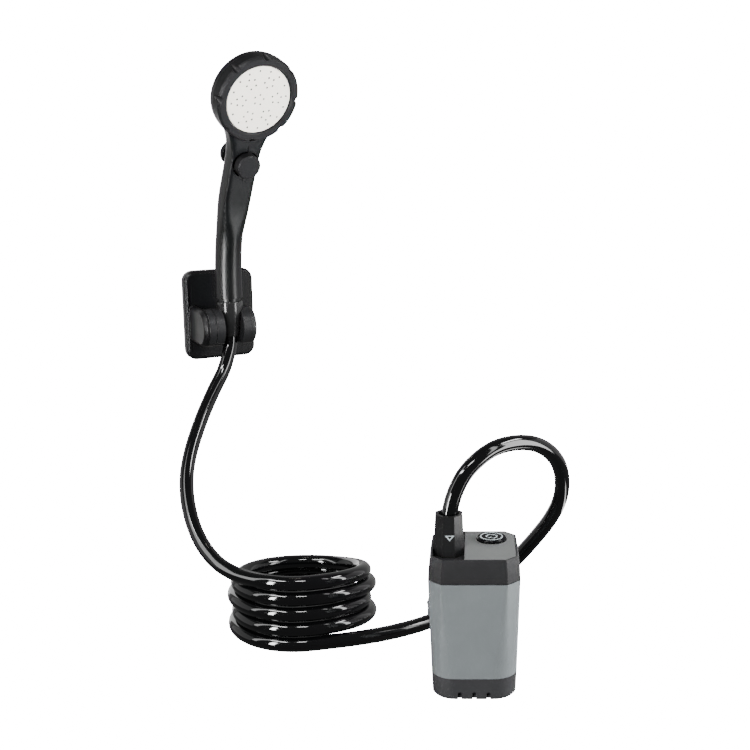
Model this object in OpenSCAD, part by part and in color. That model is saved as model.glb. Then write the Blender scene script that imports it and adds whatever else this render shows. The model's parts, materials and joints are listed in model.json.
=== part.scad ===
// Camp shower set: a battery pump, its hose, a hand shower and the wall holder that it hangs in.
// Millimetres, Z up. The origin is the centre of the pump's foot on the floor, and the pump faces -Y.

/* [Pump housing] */
// Width of the sleeve at the seam under the cap
pump_w = 70; // [66:0.5:76]
// Lean of each cap wall, from the seam to the top rim
cap_lean = 2.2; // [1.6:0.1:2.8]
// Corner cut of the eight-sided cap and sleeve top
corner_cut = 10; // [8:0.5:12]
// Taper of each sleeve wall, from the seam down to the base
sleeve_taper = 2; // [1:0.1:2.5]
// Taper of each base wall, from the sleeve down to the floor
foot_taper = 0.7; // [0.4:0.1:1]
// Corner radius of the base
corner_r = 18; // [14:0.5:19]
// Bevel round the bottom edge of the base
foot_edge = 1.2; // [0.6:0.2:2]
// Height of the base
base_h = 17.5; // [16:0.5:22]
// Height of the sleeve
sleeve_h = 76.5; // [75:0.5:90]
// Height of the cap
cap_h = 18.2; // [16:0.2:24]
// Thickness of the gasket under the cap
gasket_t = 0.8; // [0.6:0.1:1.2]
// Wall thickness of the housing
wall = 2.4; // [2:0.1:2.8]
// Thickness of the sleeve's floor, over the wet base
floor_t = 3; // [2.6:0.2:4]
// Thickness of the base's floor
base_floor_t = 2.2; // [1.8:0.2:3]
// Intake slots in each side of the base
slot_count = 3; // [2:1:3]
// Width of an intake slot
slot_w = 2.8; // [2:0.2:3.4]
// Height of an intake slot
slot_h = 6.5; // [5:0.5:8]
// Distance between intake slots
slot_step = 11; // [8:0.5:12]

/* [Cap top] */
// Depth of the well that the hose connector stands in
well_depth = 6; // [5:0.5:6.5]
// Rim left round the top panel and the well
rim = 1.2; // [1:0.1:1.6]
// Thickness of the top panel
panel_t = 1.6; // [1.2:0.2:2]
// Diameter of the power button
button_d = 23; // [20:0.5:25]
// Height of the button above the panel
button_proud = 2.4; // [1.6:0.2:3]
// Gap between the button and the right rim
button_side_gap = 6.6; // [5:0.1:8]
// Gap between the button and the back rim
button_back_gap = 6.1; // [5:0.1:8]
// Travel of the button
button_travel = 1; // [0.6:0.1:1.2]
// Diameter of the light ring in the button
light_ring_d = 18.2; // [16:0.2:20]
// Width of the light ring
light_ring_w = 1.2; // [0.8:0.1:1.6]
// Thickness of the seal under the button
button_seal_t = 0.7; // [0.4:0.1:0.8]
// Diameter of the button's stem
button_stem_d = 6; // [4:0.5:7]

/* [Electronics] */
// Gap between the circuit board and the cap's right wall
board_gap = 1.75; // [1.5:0.05:4]
// Gap between the circuit board and the cap's front and back walls
board_end_gap = 8.4; // [7.5:0.1:10.5]
// Thickness of the circuit board
board_t = 1.6; // [1:0.2:2]
// Length of the posts that the board hangs from
board_post_l = 5.5; // [5:0.5:7]
// Shank diameter of the board screws
board_screw_d = 1.8; // [1.4:0.2:2]
// Diameter of a battery cell
cell_d = 18.4; // [17:0.2:18.6]
// Length of a battery cell
cell_l = 65; // [60:1:68]
// Height of the charging socket above the floor
port_z = 63; // [58:1:80]
// Width of the charging socket
socket_w = 9; // [8:0.2:10]
// Height of the charging socket
socket_h = 3.2; // [2.6:0.2:4]
// Depth of the charging socket
socket_l = 7.3; // [6:0.1:9]
// Width of the charging-port cover
cover_w = 14; // [12.5:0.5:16]
// Height of the charging-port cover
cover_h = 9; // [8:0.5:11]
// Thickness of the charging-port cover
cover_t = 1.6; // [1.4:0.1:2]

/* [Pump works] */
// Gap between the pump chamber and the right wall of the base
chamber_side_gap = 2.9; // [2.4:0.1:3.4]
// Gap between the pump chamber and the front wall of the base
chamber_front_gap = 1.9; // [1.6:0.1:2.4]
// Diameter of the motor
motor_d = 27.7; // [24:0.1:28]
// Length of the motor
motor_l = 36; // [32:1:40]
// Diameter of the motor shaft
shaft_d = 3; // [2:0.1:3.2]
// Diameter of the shaft seal
seal_d = 11; // [9:0.5:12]
// Diameter of the impeller
impeller_d = 25; // [22:0.5:26]
// Blades on the impeller
blade_count = 6; // [5:1:7]
// Height of the impeller
impeller_h = 6.5; // [5:0.5:7]
// Inner diameter of the pump chamber
chamber_d = 30; // [28:0.5:31]
// Wall of the pump chamber
chamber_wall = 3; // [2:0.2:3.2]
// Thickness of the intake filter
filter_t = 3.8; // [3:0.2:5]
// Outer diameter of the outlet pipe
pipe_d = 10; // [9.6:0.2:11]

/* [Hose connector] */
// Width of the connector over its flats at the foot
connector_base_d = 24; // [23:0.1:24.4]
// Width of the connector over its flats at the top
connector_top_d = 20.8; // [19.6:0.2:22]
// Height of the connector
connector_h = 32; // [30:1:36]
// Diameter of the connector's mouth
connector_mouth_d = 15.8; // [15:0.2:17]

/* [Hose] */
// Outer diameter of the hose
hose_d = 12.6; // [11.6:0.1:12.8]
// Bore of the hose
hose_bore = 8; // [7.6:0.1:8.2]
// Radius of the coil at the middle of the hose
coil_r = 56; // [55:0.5:57]
// Rise of the coil from turn to turn
coil_pitch = 13.4; // [13.4:0.1:13.8]
// Sideways shift at the back of the coil, where turns lie in and out by turns
coil_nest = 4; // [3:0.1:4]

/* [Hand shower] */
// Diameter of the shower head over its ring
head_d = 78; // [76:1:84]
// Height of the ring round the head
ring_h = 12; // [11.5:0.5:13]
// Width of the ring's front face
ring_face = 8; // [7.6:0.1:8.6]
// Grip scoops round the ring
scoop_count = 8; // [6:1:10]
// Diameter of a grip scoop
scoop_d = 8; // [6:0.5:9]
// Depth of the bowl behind the ring
bowl_depth = 13; // [10:0.5:15]
// Diameter of the spray holes
spray_hole_d = 1.1; // [0.8:0.1:1.3]
// Diameter of the handle
handle_d = 24.5; // [23:0.5:26]
// Straight length at the bottom of the handle
handle_straight = 12; // [10:1:16]
// Radius of the handle's bend
handle_bend_r = 210; // [190:5:230]
// Forward lean of the neck and head, in degrees
handle_lean = 24; // [22:1:26]
// Length of the straight neck up to the middle of the head
neck_l = 95; // [92:1:100]
// Width of the neck
neck_w = 28; // [27:0.5:31]
// Neck in front of its middle line
neck_front = 9; // [8:0.5:11]
// Neck behind its middle line
neck_back = 11; // [10:0.5:13]
// Radius where the neck flares into the head
neck_fillet_r = 60; // [50:1:70]
// Valve centre below the middle of the head
valve_drop = 62; // [60:0.5:64]
// Diameter of the valve's front knob
knob_d = 22.6; // [20:0.2:23]
// Front knob's face in front of the neck's middle line
knob_reach = 17; // [16:0.5:18]
// Height of the valve's front knob
knob_h = 7.5; // [7:0.5:8]
// Diameter of the valve's rear knob
rear_knob_d = 24; // [20:0.5:25]
// Height of the valve's rear knob
rear_knob_h = 7; // [6:0.5:9]
// Diameter of the valve spool
spool_d = 14.4; // [13:0.2:15]
// Travel of the valve spool
spool_travel = 6; // [5:0.5:6]

/* [Hose nut] */
// Diameter of the nut's grip
nut_d = 24; // [23.6:0.2:25]
// Diameter of the nut's lower end
nut_tip_d = 15.6; // [15.4:0.1:16]
// Height of the nut
nut_h = 33; // [31:0.5:36]
// Height of the straight grip
nut_grip_h = 10; // [8:0.5:12]
// Diameter of the pipe thread on the handle
thread_d = 20.6; // [19:0.1:21]
// Thread left showing between the nut and the handle
thread_gap = 3; // [2:0.5:4]
// Thickness of the tail's flange
tail_flange_t = 2; // [1.6:0.2:2.6]
// Thickness of the rubber washer
washer_t = 1.8; // [1.4:0.2:2.4]

/* [Wall holder] */
// Turn of the wall against the pump, in degrees
holder_yaw = 30; // [28:1:32]
// Turn of the hand shower in its holder, in degrees
handset_turn = 10; // [4:1:14]
// Width of the wall plate
plate_w = 67.5; // [62:0.5:72]
// Height of the wall plate
plate_h = 85; // [80:1:92]
// Thickness of the wall plate
plate_t = 10; // [8:0.5:12]
// Corner radius of the wall plate
plate_r = 10; // [8:0.5:13]
// Bevel round the front of the wall plate
plate_bevel = 2.5; // [1.5:0.5:3]
// Middle of the wall plate above the pivot
plate_rise = 7.5; // [6:0.5:10]
// Thickness of the adhesive pad
pad_t = 1.5; // [1:0.1:2]
// Pivot in front of the wall plate
standoff = 27; // [24:0.5:30]
// Diameter of the cradle and its discs
drum_d = 35.4; // [34:0.2:37]
// Slot for the hose through the front of the cradle
slot_gap = 17.6; // [17.2:0.1:18]
// Middle of the slot, left of the nut's axis
slot_shift = 1.4; // [1:0.1:1.6]
// Thickness of the cradle's left cheek at the slot
cheek_left = 7.9; // [7.5:0.1:9]
// Thickness of the cradle's right cheek at the slot
cheek_right = 7.4; // [7.2:0.1:9]
// Thickness of the friction disc
disc_t = 6.6; // [5:0.2:9]
// Thickness of the lug on the wall plate
lug_t = 5; // [4.5:0.5:10]
// Thickness of the end cap
end_cap_t = 6.6; // [5:0.2:9]
// Top of the hose nut above the pivot
nut_rise = 24; // [23:0.5:25]
// Shank diameter of the pivot screw
pivot_d = 6; // [5:0.2:6.4]

/* [Clearances] */
// Gap between pieces that move past each other
move_gap = 0.3; // [0.3:0.05:0.4]
// Gap round a shaft, spool or pivot that runs in a bore
run_gap = 0.1; // [0.06:0.01:0.1]
// Gap round pieces that are put together by hand
fit_gap = 0.15; // [0.1:0.05:0.2]

/* [Hidden] */
$fn = 64;
skin = 0.02;

// Widths and heights in the pump
cap_top_w = pump_w - 2 * cap_lean;
base_w = pump_w - 2 * sleeve_taper;
foot_w = base_w - 2 * foot_taper;
sleeve_top = base_h + sleeve_h;
cap_z = sleeve_top + gasket_t;
cap_top = cap_z + cap_h;
well_z = cap_top - well_depth;
deck_z = well_z - wall;
board_top = deck_z - board_post_l;
chamber_z = base_floor_t + filter_t;
motor_z = base_h + floor_t;
cap_inner = cap_top_w - 2 * wall;
skirt_l = 4;
skirt_gap = 0.3;
spigot_l = 3;
spigot_t = 1.4;
sleeve_inner = pump_w - 2 * wall;

// Button and switch
button_bottom = well_z + button_seal_t + button_travel + move_gap;
button_top = cap_top + button_proud;
stem_bottom = deck_z + button_travel - fit_gap;
stem_hole_d = button_stem_d + 2;
switch_top = stem_bottom - button_travel - move_gap;
light_ring_depth = 0.8;

// The connector fills the well from the left rim to the panel. The button stands near the right back corner.
well_gap = 0.1;
connector_x = -(cap_top_w / 2 - rim - well_gap - connector_base_d / 2);
panel_left = connector_x + connector_base_d / 2 + well_gap;
button_x = cap_top_w / 2 - rim - button_side_gap - button_d / 2;
button_y = cap_top_w / 2 - rim - button_back_gap - button_d / 2;

// Circuit board
board_lap = 0.85;
board_left = panel_left - board_lap;
board_right = cap_inner / 2 - board_gap;
board_w = board_right - board_left;
board_x = (board_left + board_right) / 2;
board_l = cap_inner - 2 * board_end_gap;
post_d = 5;
post_inset = 4;
screw_head_d = 4.4;
screw_head_h = 1.2;

// Motor, impeller, battery and frame
chamber_r = chamber_d / 2 + chamber_wall;
motor_x = foot_w / 2 - wall - chamber_r - chamber_side_gap;
motor_y = chamber_front_gap + chamber_r + wall - foot_w / 2;
impeller_top_gap = 1.5;
impeller_z = base_h - impeller_top_gap - impeller_h;
cell_gap = 1.2;
cell_back_gap = 1.4;
cell_left = 5;
cell_mid_x = motor_x - cell_left;
cell_y = base_w / 2 - wall - cell_d / 2 - cell_back_gap;
frame_z = motor_z + 25.5;
frame_h = 6;
frame_wall = 3;
frame_box = [[connector_x + frame_wall, motor_y - motor_d / 2 - frame_wall],
    [motor_x + motor_d / 2 + frame_wall, cell_y + frame_wall]];

// Outlet
pipe_bore = hose_bore;
nipple_r = hose_bore / 2 - run_gap;
nipple_bore = 5.2;
nipple_flange_d = 17;
nipple_flange_t = 2;
nipple_seal_t = 1;
nipple_spigot_l = 8;
barb_l = 18;
hose_start_z = well_z + nipple_seal_t + nipple_flange_t;
duct_w = 11;
duct_wall = 2;
duct_angle = atan2(-motor_y, connector_x - motor_x);
duct_l = norm([connector_x - motor_x, motor_y]);
outlet_boss_d = pipe_d + 5;
inlet_d = 10;
chamber_ear_d = 6;
chamber_ear_r = chamber_r + 0.5;
chamber_ear_angles = [35, 115, 225];
chamber_screw_d = 2.4;

// Hose routes, points chosen by hand along the free stretches
hose_r = hose_d / 2;
feed_from = [-19.5, 0, 110];
feed_route = [
    [-19.5, 0, 129], [-18, 1, 143.5], [-13.5, 4.5, 157], [-6.5, 9.5, 168.5], [3, 16, 177], [13.5, 24, 182.5],
    [25, 32.5, 184.5], [38, 42, 183.5], [50.5, 51.5, 179], [61.5, 61, 170], [69.5, 71, 156.5],
    [73, 80.5, 139], [71.5, 89.5, 120], [64.5, 97.5, 101.5], [54, 104.5, 84], [41.5, 110.5, 66.5],
    [28, 115, 50], [14, 117.5, 35], [0, 117.5, 22.5], [-14, 114, 14], [-28, 107, 9], [-42, 97.5, 7],
    [-56, 88, 6.4], [-70, 79.5, 6.3], [-84, 72.5, 6.3], [-98, 67, 6.3], [-111, 62.7, 6.3]
];
rise_route = [
    [-201.5, 75.5, 60.8], [-215, 85, 64.5], [-227.5, 96.5, 71.5], [-238.5, 109.5, 82], [-247, 123.5, 95],
    [-253, 138.5, 109], [-256, 154, 124], [-255.5, 170, 139.5], [-252.5, 186, 155], [-248, 201.5, 170.5],
    [-242, 216.5, 186.5], [-234.8, 230, 203], [-230.3, 237.8, 220.5], [-229.1, 239.8, 232]
];
coil_centre = [-150, 110];
coil_start = -75;
coil_sweep = 1485;
coil_step = 15;
coil_flat = 215;

// Hand shower, measured from the holder's pivot
handle_z = nut_rise + thread_gap;
bend_l = handle_bend_r * handle_lean * PI / 180;
neck_s = handle_straight + bend_l;
head_s = neck_s + neck_l;
ring_r = head_d / 2;
bowl_r = ring_r - 3;
bowl_rim_r = ring_r - 0.6;
bowl_z = -3;
ring_front = 13;
ring_back = ring_front - ring_h;
lip_r = ring_r - ring_face;
face_r = lip_r - move_gap;
face_t = 0.8;
rim_z = ring_front - 8;
flow_z = rim_z - 5;
scoop_l = 11;
face_gasket_t = 1.2;
face_flange_z = rim_z + face_gasket_t;
face_front = ring_front - 1.7;
chamber_step = 3;
head_chamber_r = bowl_r - 5;
fillet_drop = sqrt(pow(bowl_r + neck_fillet_r, 2) - pow(neck_w / 2 + neck_fillet_r, 2));
fillet_end = bowl_r * fillet_drop / (bowl_r + neck_fillet_r);
flat_from = 0.58;
flat_over = 0.46;
knob_gap = 1.3;
knob_under = 1;
pocket_r = knob_d / 2 + knob_gap;
pocket_z = knob_reach - knob_h - spool_travel - knob_under;
water_r = 6;
water_z = bowl_z - 4;
neck_water_d = 5;
rear_knob_gap = 1.5;
rear_knob_z = -neck_back - rear_knob_gap;
spool_bore_r = spool_d / 2 + run_gap;
spool_groove = 1;
spool_groove_h = 1.6;
spool_groove_z = [pocket_z - 1.1, pocket_z - 6.5];
spool_tail_r = 4;
rear_knob_end = rear_knob_z - rear_knob_h;
tail_z = rear_knob_end + 2;

// Hose nut and tail
nut_tip_z = nut_rise - nut_h;
nut_cone_z = nut_rise - nut_grip_h;
nut_bore_r = hose_r + 0.4;
nut_thread_r = thread_d / 2 + fit_gap;
nut_shoulder_z = nut_rise - 16;
spigot_z = nut_shoulder_z + tail_flange_t + washer_t;
tail_barb_r = hose_bore / 2 - run_gap;
tail_barb_l = 15;
hose_end_z = nut_shoulder_z - 0.5;
hose_end_bore_r = hose_bore / 2 + move_gap;

// Holder: its place in the room, then lengths along the pivot from the nut's axis
holder_pos = [-229, 240, 243];
drum_r = drum_d / 2;
slot_left = -slot_gap / 2 - slot_shift;
cradle_left = slot_left - cheek_left;
cradle_right = slot_left + slot_gap + cheek_right;
disc_right = cradle_left - move_gap;
disc_left = disc_right - disc_t;
lug_left = disc_left - lug_t;
lug_edge = 3;
lug_skin = 1;
pivot_head_d = 10;
pivot_head_t = 2.5;
pivot_head_x = cradle_left + 3.2;
bell_r = 12;
seat_gap = move_gap;

function sleeve_half(z) = (base_w + (pump_w - base_w) * (z - base_h) / sleeve_h) / 2;
function octagon(w, c) = [for (s = [[1, 1], [-1, 1], [-1, -1], [1, -1]], k = [0, 1])
    let (a = s[0] * s[1] > 0 ? k : 1 - k)
        [s[0] * (w / 2 - (a == 1 ? c : 0)), s[1] * (w / 2 - (a == 0 ? c : 0))]];
function inner_cut(c, t) = c - t * (2 - sqrt(2));
function unit(v) = v / norm(v);
function smooth(u) = let (t = min(1, max(0, u))) t * t * (3 - 2 * t);
function signed_power(v, p) = sign(v) * pow(abs(v), p);
function flatten(lists) = [for (l = lists, v = l) v];

// Directions along a route, with given directions at its two ends
function directions(p, first, last) = [for (i = [0:len(p) - 1])
    i == 0 ? first : i == len(p) - 1 ? last : unit(unit(p[i + 1] - p[i]) + unit(p[i] - p[i - 1]))];
// A side direction that turns as little as it can along the route
function carried(t, n, i = 0, done = []) = i == len(t) ? done :
    let (m = unit(n - (n * t[i]) * t[i])) carried(t, m, i + 1, concat(done, [m]));
function hoop(c, t, n, r, sides) = let (b = cross(n, t))
    [for (k = [0:sides - 1]) c + r * (n * cos(360 * k / sides) + b * sin(360 * k / sides))];
// Faces of a skin over rings of equal length, closed by a fan at each end
function skin_faces(rings, sides) = concat(
    [for (i = [0:rings - 2], k = [0:sides - 1])
        [i * sides + k, i * sides + (k + 1) % sides, (i + 1) * sides + k]],
    [for (i = [0:rings - 2], k = [0:sides - 1])
        [i * sides + (k + 1) % sides, (i + 1) * sides + (k + 1) % sides, (i + 1) * sides + k]],
    [for (k = [1:sides - 2]) [0, k + 1, k]],
    [for (k = [1:sides - 2]) let (o = (rings - 1) * sides) [o, o + k, o + k + 1]]);

module tube(points, first, last, side, r, sides) {
    t = directions(points, first, last);
    n = carried(t, side);
    rings = [for (i = [0:len(points) - 1]) hoop(points[i], t[i], n[i], r, sides)];
    polyhedron(flatten(rings), skin_faces(len(points), sides));
}

// Slabs that the housing is lofted between
module octagon_slab(w, c, z) translate([0, 0, z]) linear_extrude(skin) polygon(octagon(w, c));
module rounded_slab(w, r, z, $fn = 32) translate([0, 0, z]) linear_extrude(skin) rounded(w, w, r);
module rounded(w, h, r) {
    square([w - 2 * r, h], center = true);
    square([w, h - 2 * r], center = true);
    for (x = [-1, 1], y = [-1, 1]) translate([x * (w / 2 - r), y * (h / 2 - r)]) circle(r);
}
module at_motor(z) translate([motor_x, motor_y, z]) children();
module at_connector(z) translate([connector_x, 0, z]) children();
module ring_solid(outer, inner, h) difference() {
    cylinder(r = outer, h = h);
    translate([0, 0, -1]) cylinder(r = inner, h = h + 2);
}

// Base of the pump, with intake slots in its four sides
module base_cover() color("#3a3b3d") difference() {
    hull() {
        rounded_slab(base_w, corner_r, base_h - skin);
        rounded_slab(foot_w, corner_r, foot_edge);
        rounded_slab(foot_w - 2 * foot_edge, corner_r - foot_edge, 0);
    }
    hull() {
        rounded_slab(base_w - 2 * wall, corner_r - wall, base_h + 1);
        rounded_slab(foot_w - 2 * wall, corner_r - wall, base_floor_t);
    }
    for (side = [0:3], i = [0:slot_count - 1]) rotate([0, 0, 90 * side])
        translate([(i - (slot_count - 1) / 2) * slot_step, -foot_w / 2 - 1, 0]) intake_slot();
}
module intake_slot() {
    depth = wall + 2;
    translate([-slot_w / 2, 0, -1]) cube([slot_w, depth, slot_h - slot_w / 2 + 1]);
    translate([0, 0, slot_h - slot_w / 2]) rotate([-90, 0, 0]) cylinder(d = slot_w, h = depth);
}

module intake_filter() color("#22252a") translate([0, 0, base_floor_t]) linear_extrude(filter_t)
    rounded(foot_w - 2 * wall - 4, foot_w - 2 * wall - 4, corner_r - wall - 2);

// Chamber that the impeller spins in, with the duct to the outlet pipe
module pump_chamber() color("#55585c") difference() {
    h = base_h - chamber_z;
    translate([0, 0, chamber_z]) linear_extrude(h) {
        translate([motor_x, motor_y]) circle(chamber_r);
        for (a = chamber_ear_angles)
            translate([motor_x, motor_y] + chamber_ear_r * [cos(a), sin(a)]) circle(d = chamber_ear_d);
        translate([connector_x, 0]) circle(d = outlet_boss_d);
        duct_outline(duct_w);
    }
    at_motor(chamber_z + duct_wall) cylinder(d = chamber_d, h = h);
    at_motor(chamber_z - 1) cylinder(d = inlet_d, h = h);
    translate([0, 0, chamber_z + duct_wall + 0.5]) linear_extrude(h - 2 * duct_wall - 1)
        duct_outline(duct_w - 2 * duct_wall);
    at_connector(chamber_z + duct_wall) cylinder(d = pipe_bore, h = h);
    for (a = chamber_ear_angles) {
        chamber_ear(a, chamber_z - 1) cylinder(d = chamber_screw_d + 2 * fit_gap, h = h + 2);
        chamber_ear(a, chamber_z - 1) cylinder(d = screw_head_d + 2 * fit_gap, h = screw_head_h + 1);
    }
}
module duct_outline(w) translate([motor_x, motor_y]) rotate(duct_angle)
    translate([4, -w / 2]) square([duct_l - 4, w]);
module chamber_ear(a, z) at_motor(z) rotate([0, 0, a]) translate([chamber_ear_r, 0, 0]) children();

module chamber_screws() color("#b8bcc0") for (a = chamber_ear_angles) {
    chamber_ear(a, chamber_z) cylinder(d = screw_head_d, h = screw_head_h);
    chamber_ear(a, chamber_z) cylinder(d = chamber_screw_d, h = base_h - chamber_z + floor_t - 1.2);
}

// Impeller with backward-curved blades on one disc
module impeller() color("#e4e6e8") at_motor(impeller_z) difference() {
    blade_r = impeller_d * 0.3;
    union() {
        cylinder(d = impeller_d, h = 1.2);
        cylinder(d = shaft_d + 4, h = impeller_h + 0.5);
        for (i = [0:blade_count - 1]) rotate([0, 0, 360 * i / blade_count]) linear_extrude(impeller_h)
            intersection() {
                difference() {
                    circle(d = impeller_d - 1);
                    circle(d = shaft_d + 2);
                }
                translate([blade_r, 0]) difference() {
                    circle(blade_r + 0.5);
                    circle(blade_r - 0.5);
                }
                translate([0, 0.2]) square(impeller_d);
            }
    }
    translate([0, 0, -1]) cylinder(d = shaft_d + 0.1, h = impeller_h + 2);
}

module motor_shaft() color("#c9ccd0") at_motor(impeller_z)
    cylinder(d = shaft_d, h = motor_z + 12 - impeller_z);

module shaft_seal() color("#1b1b1d") at_motor(base_h)
    ring_solid(seal_d / 2, shaft_d / 2 + run_gap, floor_t);

// Motor can with its end bell, terminals and shaft bore
module motor() color("#a9adb2") difference() {
    at_motor(motor_z) union() {
        cylinder(d = motor_d, h = motor_l - 5);
        cylinder(d = motor_d - 2, h = motor_l - 1);
        cylinder(d = 9, h = motor_l + 1.5);
        for (x = [-1, 1]) translate([x * 8.5 - 1, -0.3, motor_l - 2]) cube([2, 0.6, 5]);
    }
    at_motor(motor_z - 1) cylinder(d = shaft_d + 2 * run_gap, h = 14);
}

module battery_cells() color("#3f7fae") for (x = [-1, 1])
    translate([cell_mid_x + x * (cell_d + cell_gap) / 2, cell_y, motor_z]) {
        cylinder(d = cell_d, h = cell_l - 1.5);
        cylinder(d = cell_d - 8, h = cell_l);
    }

// Moulded frame that keeps the motor and the cells apart
module inner_frame() color("#d8d4c8") difference() {
    translate([frame_box[0][0], frame_box[0][1], frame_z])
        cube([frame_box[1][0] - frame_box[0][0], frame_box[1][1] - frame_box[0][1], frame_h]);
    at_motor(frame_z - 1) cylinder(d = motor_d + 2 * fit_gap, h = frame_h + 2);
    for (x = [-1, 1]) translate([cell_mid_x + x * (cell_d + cell_gap) / 2, cell_y, frame_z - 1])
        cylinder(d = cell_d + 2 * fit_gap, h = frame_h + 2);
    at_connector(frame_z - 1) cylinder(d = pipe_d + 2 * fit_gap, h = frame_h + 2);
}

// Sleeve that turns from an octagon under the cap to a rounded square at the base
module body_sleeve() color("#848b8d") difference() {
    union() {
        hull() {
            octagon_slab(pump_w, corner_cut, sleeve_top - skin);
            rounded_slab(base_w, corner_r, base_h);
        }
        spigot_w = foot_w - 2 * wall - 2 * fit_gap;
        translate([0, 0, base_h - spigot_l]) linear_extrude(spigot_l + 1) difference() {
            rounded(spigot_w, spigot_w, corner_r - wall);
            rounded(spigot_w - 2 * spigot_t, spigot_w - 2 * spigot_t, corner_r - wall - spigot_t);
        }
        for (y = [-1, 1])
            translate([cover_x - cover_t, y * cover_ear_y - cover_ear_w / 2, cover_hinge_z - cover_hinge_r])
                cube([cover_t + wall, cover_ear_w, 2 * cover_hinge_r]);
    }
    hull() {
        octagon_slab(sleeve_inner, inner_cut(corner_cut, wall), sleeve_top + 0.5);
        rounded_slab(base_w - 2 * wall, corner_r - wall, motor_z);
    }
    translate([cover_x - cover_hinge_r, -cover_w / 2, cover_hinge_z]) rotate([-90, 0, 0])
        cylinder(r = cover_pin_r + run_gap, h = cover_w);
    at_motor(base_h - 1) cylinder(d = seal_d + 0.1, h = floor_t + 2);
    at_connector(base_h - 1) cylinder(d = pipe_d + 2 * fit_gap, h = floor_t + 2);
    for (a = chamber_ear_angles) chamber_ear(a, base_h - 1) cylinder(d = chamber_screw_d + 0.1, h = floor_t);
    translate([-pump_w / 2 - 1, 0, port_z]) rotate([90, 0, 90])
        linear_extrude(wall + 4) capsule(socket_w + 2 * fit_gap, socket_h + 2 * fit_gap);
}
module capsule(w, h) {
    square([w - h, h], center = true);
    for (x = [-1, 1]) translate([x * (w - h) / 2, 0]) circle(d = h);
}

module charge_socket() color("#b9bdc2") translate([-sleeve_half(port_z) + 0.3, 0, port_z]) rotate([90, 0, 90])
    difference() {
        linear_extrude(socket_l) capsule(socket_w, socket_h);
        translate([0, 0, -1]) linear_extrude(socket_l - 0.5) difference() {
            capsule(socket_w - 0.7, socket_h - 0.7);
            square([socket_w - 2.6, 0.7], center = true);
        }
    }

// Cover over the charging socket, on a hinge barrel at its lower edge
cover_x = -sleeve_half(port_z + cover_h / 2) - move_gap;
cover_hinge_r = cover_t / 2;
cover_hinge_z = port_z - cover_h / 2;
cover_barrel_l = cover_w / 2;
cover_ear_w = 1.6;
cover_ear_y = cover_barrel_l / 2 + move_gap + cover_ear_w / 2;
cover_pin_r = 0.4;
module port_cover() color("#6f7678") translate([cover_x, 0, port_z]) {
    difference() {
        rotate([90, 0, -90]) linear_extrude(cover_t) rounded(cover_w, cover_h, 2);
        for (y = [-1, 1]) translate([-cover_t - 1, y * cover_w / 2 - cover_w / 4, -cover_h / 2 - 1])
            cube([cover_t + 2, cover_w / 2, 1 + cover_hinge_r + 2 * move_gap]);
    }
    translate([-cover_hinge_r, 0, -cover_h / 2]) rotate([90, 0, 0]) {
        cylinder(r = cover_hinge_r, h = cover_barrel_l, center = true);
        cylinder(r = cover_pin_r, h = 2 * cover_ear_y + cover_ear_w, center = true);
    }
    translate([-cover_t - 0.8, -2, cover_h / 2 - 2]) cube([0.8, 4, 1.2]);
}

module cap_gasket() color("#17181a") translate([0, 0, sleeve_top]) linear_extrude(gasket_t) difference() {
    polygon(octagon(pump_w - 1, inner_cut(corner_cut, 0.5)));
    polygon(octagon(sleeve_inner, inner_cut(corner_cut, wall)));
}

// Eight-sided cap: a sloping shell with a well on the left and a seat for the panel on the right
module top_cap() color("#3c3d40") difference() {
    union() {
        difference() {
            union() {
                hull() {
                    octagon_slab(pump_w, corner_cut, cap_z);
                    octagon_slab(pump_w - 0.8, inner_cut(corner_cut, 0.4), cap_z + cap_h * 0.45);
                    octagon_slab(cap_top_w, inner_cut(corner_cut, (pump_w - cap_top_w) / 2), cap_top - skin);
                }
                translate([0, 0, sleeve_top - skirt_l]) linear_extrude(skirt_l + gasket_t + 1)
                    polygon(octagon(sleeve_inner - 2 * skirt_gap, inner_cut(corner_cut, wall + skirt_gap)));
            }
            translate([0, 0, sleeve_top - skirt_l - 1]) linear_extrude(deck_z - sleeve_top + skirt_l + 1)
                polygon(octagon(cap_inner, inner_cut(corner_cut, wall + 2)));
        }
        for (p = board_holes()) translate([p[0], p[1], board_top]) cylinder(d = post_d, h = board_post_l + 1);
    }
    translate([0, 0, well_z]) linear_extrude(well_depth + 1) top_region(-cap_top_w, panel_left);
    translate([0, 0, cap_top - panel_t]) linear_extrude(panel_t + 1) top_region(panel_left - 1, cap_top_w);
    translate([button_x, button_y, well_z]) cylinder(d = button_d + 2 * move_gap, h = well_depth + 1);
    translate([button_x, button_y, deck_z - 1]) cylinder(d = stem_hole_d, h = wall + 2);
    at_connector(deck_z - 1) cylinder(r = nipple_r + fit_gap, h = wall + 2);
    for (p = board_holes()) translate([p[0], p[1], board_top - 1])
        cylinder(d = board_screw_d + 0.1, h = board_post_l);
}
function board_holes() = [for (x = [-1, 1], y = [-1, 1])
    [board_x + x * (board_w / 2 - post_inset), y * (board_l / 2 - post_inset)]];
// The flat top inside the rim, from one x to another
module top_region(from, to, inset = 0) intersection() {
    w = cap_top_w - 2 * rim - 2 * inset;
    polygon(octagon(w, inner_cut(corner_cut, (pump_w - w) / 2)));
    translate([from, -cap_top_w / 2]) square([to - from, cap_top_w]);
}

module top_panel() color("#7f8281") translate([0, 0, cap_top - panel_t]) difference() {
    linear_extrude(panel_t) top_region(panel_left, cap_top_w, fit_gap);
    translate([button_x, button_y, -1]) cylinder(d = button_d + 2 * move_gap, h = panel_t + 2);
}

module circuit_board() color("#1f6b45") translate([board_x, 0, board_top - board_t]) difference() {
    translate([-board_w / 2, -board_l / 2, 0]) cube([board_w, board_l, board_t]);
    for (p = board_holes()) translate([p[0] - board_x, p[1], -1])
        cylinder(d = board_screw_d + 0.4, h = board_t + 2);
}

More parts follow.
